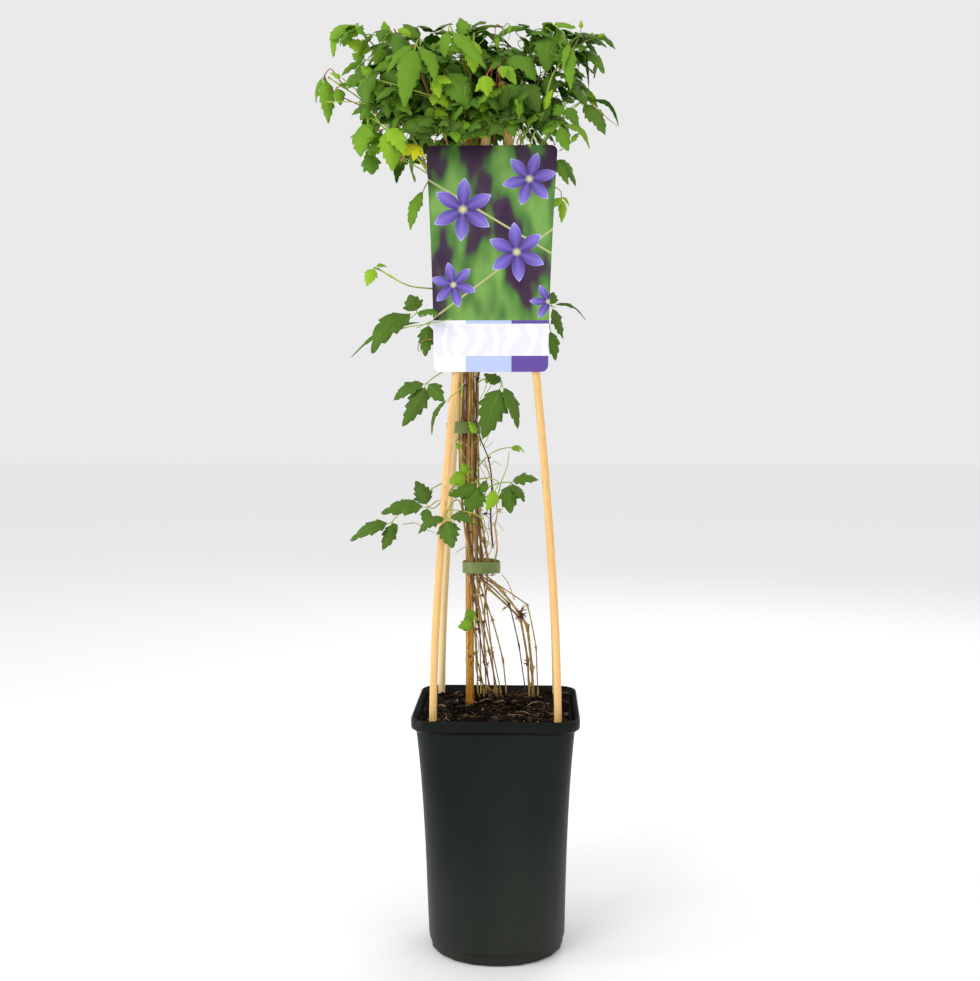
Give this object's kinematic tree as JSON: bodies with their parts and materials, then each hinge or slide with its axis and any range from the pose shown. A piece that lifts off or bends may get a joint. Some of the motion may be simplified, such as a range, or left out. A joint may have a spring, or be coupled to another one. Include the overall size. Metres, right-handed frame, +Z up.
{
  "type": "climbing plant in a pot with a trellis",
  "caption": "Young clematis with toothed leaves, tied to a cane inside bent wooden rods that meet at a top tie, in a tall square pot with a picture card.",
  "frame": {"origin": "centre of the pot's underside, on the surface it stands on", "axes": "+Z up, -Y toward the viewer on the card's side, +X to the viewer's right"},
  "size_m": [0.2743, 0.2081, 0.8478],
  "materials": {
    "pot_plastic": "satin moulded plastic",
    "peat": "rough damp peat",
    "pale_wood": "smooth unpainted rod",
    "cane_skin": "satin bamboo",
    "tie_plastic": "soft satin strap",
    "card_plastic": "printed sheet with a soft gloss",
    "foliage": "satin leaf"
  },
  "bodies": {
    "root": {"pot": "pot_plastic", "soil": "peat", "rod_front_left": "pale_wood", "rod_front_right": "pale_wood", "rod_back_left": "pale_wood", "rod_back_right": "pale_wood", "cane": "cane_skin", "tie_lower": "tie_plastic", "tie_upper": "tie_plastic", "tie_top": "tie_plastic", "label_card": "card_plastic", "vine_low_left": "foliage", "vine_spray_left": "foliage", "vine_mid_left": "foliage", "vine_centre": "foliage", "vine_top": "foliage", "vine_spray_right": "foliage", "vine_low_right": "foliage", "vine_right": "foliage", "vine_top_right": "foliage", "vine_back_right": "foliage", "vine_back": "foliage", "vine_back_left": "foliage", "vine_top_left": "foliage", "vine_far_left": "foliage"}
  },
  "joints": []
}
